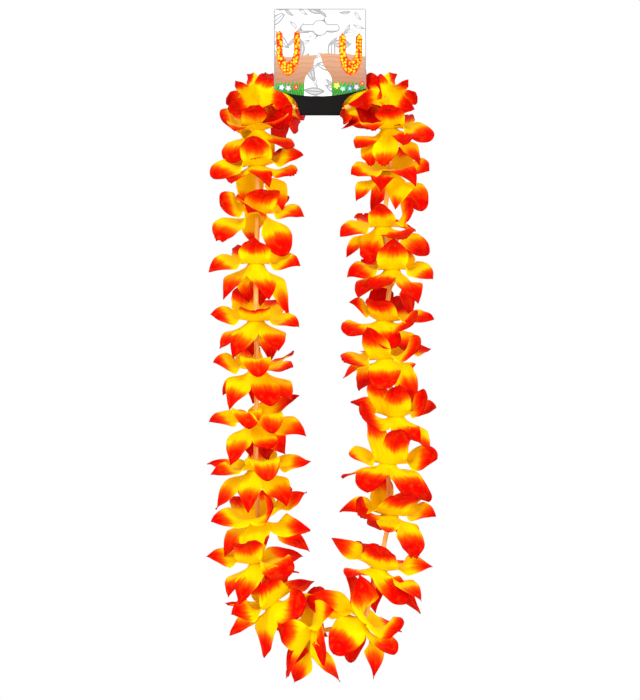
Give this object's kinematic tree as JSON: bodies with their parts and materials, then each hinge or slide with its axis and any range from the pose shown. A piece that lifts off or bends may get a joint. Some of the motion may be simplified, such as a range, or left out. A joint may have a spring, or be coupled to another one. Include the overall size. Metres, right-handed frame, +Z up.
{
  "type": "artificial flower lei",
  "caption": "Garland of two-layer fabric flowers and short plastic tubes strung on a knotted thread, hanging as a long loop from a cardboard header card with a euro slot.",
  "frame": {"origin": "on the axis of the header card's euro slot, in the plane of the thread; the card's panel lies 1.4 to 1.9 mm in front of that plane", "axes": "+Z up along the two hanging strands, +X to the viewer's right, the printed face of the card looks along -Y"},
  "size_m": [0.1953, 0.0884, 0.5747],
  "materials": {
    "flower_fabric": "matte woven polyester, dyed yellow at the centre through orange to red at the petal ends",
    "spacer_tube": "translucent pale orange extruded tube",
    "stringing_thread": "twisted yellow cotton thread",
    "header_card": "coated white board, printed on the face, black on the lower tab"
  },
  "bodies": {
    "root": {"header_card": "header_card", "stringing_thread": "stringing_thread", "spacer_tube_01": "spacer_tube", "spacer_tube_02": "spacer_tube", "spacer_tube_03": "spacer_tube", "spacer_tube_04": "spacer_tube", "spacer_tube_05": "spacer_tube", "spacer_tube_06": "spacer_tube", "spacer_tube_07": "spacer_tube", "spacer_tube_08": "spacer_tube", "spacer_tube_09": "spacer_tube", "spacer_tube_10": "spacer_tube", "spacer_tube_11": "spacer_tube", "spacer_tube_12": "spacer_tube", "spacer_tube_13": "spacer_tube", "spacer_tube_14": "spacer_tube", "spacer_tube_15": "spacer_tube", "spacer_tube_16": "spacer_tube", "spacer_tube_17": "spacer_tube", "spacer_tube_18": "spacer_tube", "spacer_tube_19": "spacer_tube", "spacer_tube_20": "spacer_tube", "spacer_tube_21": "spacer_tube", "spacer_tube_22": "spacer_tube", "spacer_tube_23": "spacer_tube", "spacer_tube_24": "spacer_tube", "spacer_tube_25": "spacer_tube", "spacer_tube_26": "spacer_tube", "spacer_tube_27": "spacer_tube", "spacer_tube_28": "spacer_tube", "flower_01": "flower_fabric", "flower_02": "flower_fabric", "flower_03": "flower_fabric", "flower_04": "flower_fabric", "flower_05": "flower_fabric", "flower_06": "flower_fabric", "flower_07": "flower_fabric", "flower_08": "flower_fabric", "flower_09": "flower_fabric", "flower_10": "flower_fabric", "flower_11": "flower_fabric", "flower_12": "flower_fabric", "flower_13": "flower_fabric", "flower_14": "flower_fabric", "flower_15": "flower_fabric", "flower_16": "flower_fabric", "flower_17": "flower_fabric", "flower_18": "flower_fabric", "flower_19": "flower_fabric", "flower_20": "flower_fabric", "flower_21": "flower_fabric", "flower_22": "flower_fabric", "flower_23": "flower_fabric", "flower_24": "flower_fabric", "flower_25": "flower_fabric", "flower_26": "flower_fabric", "flower_27": "flower_fabric"}
  },
  "joints": []
}
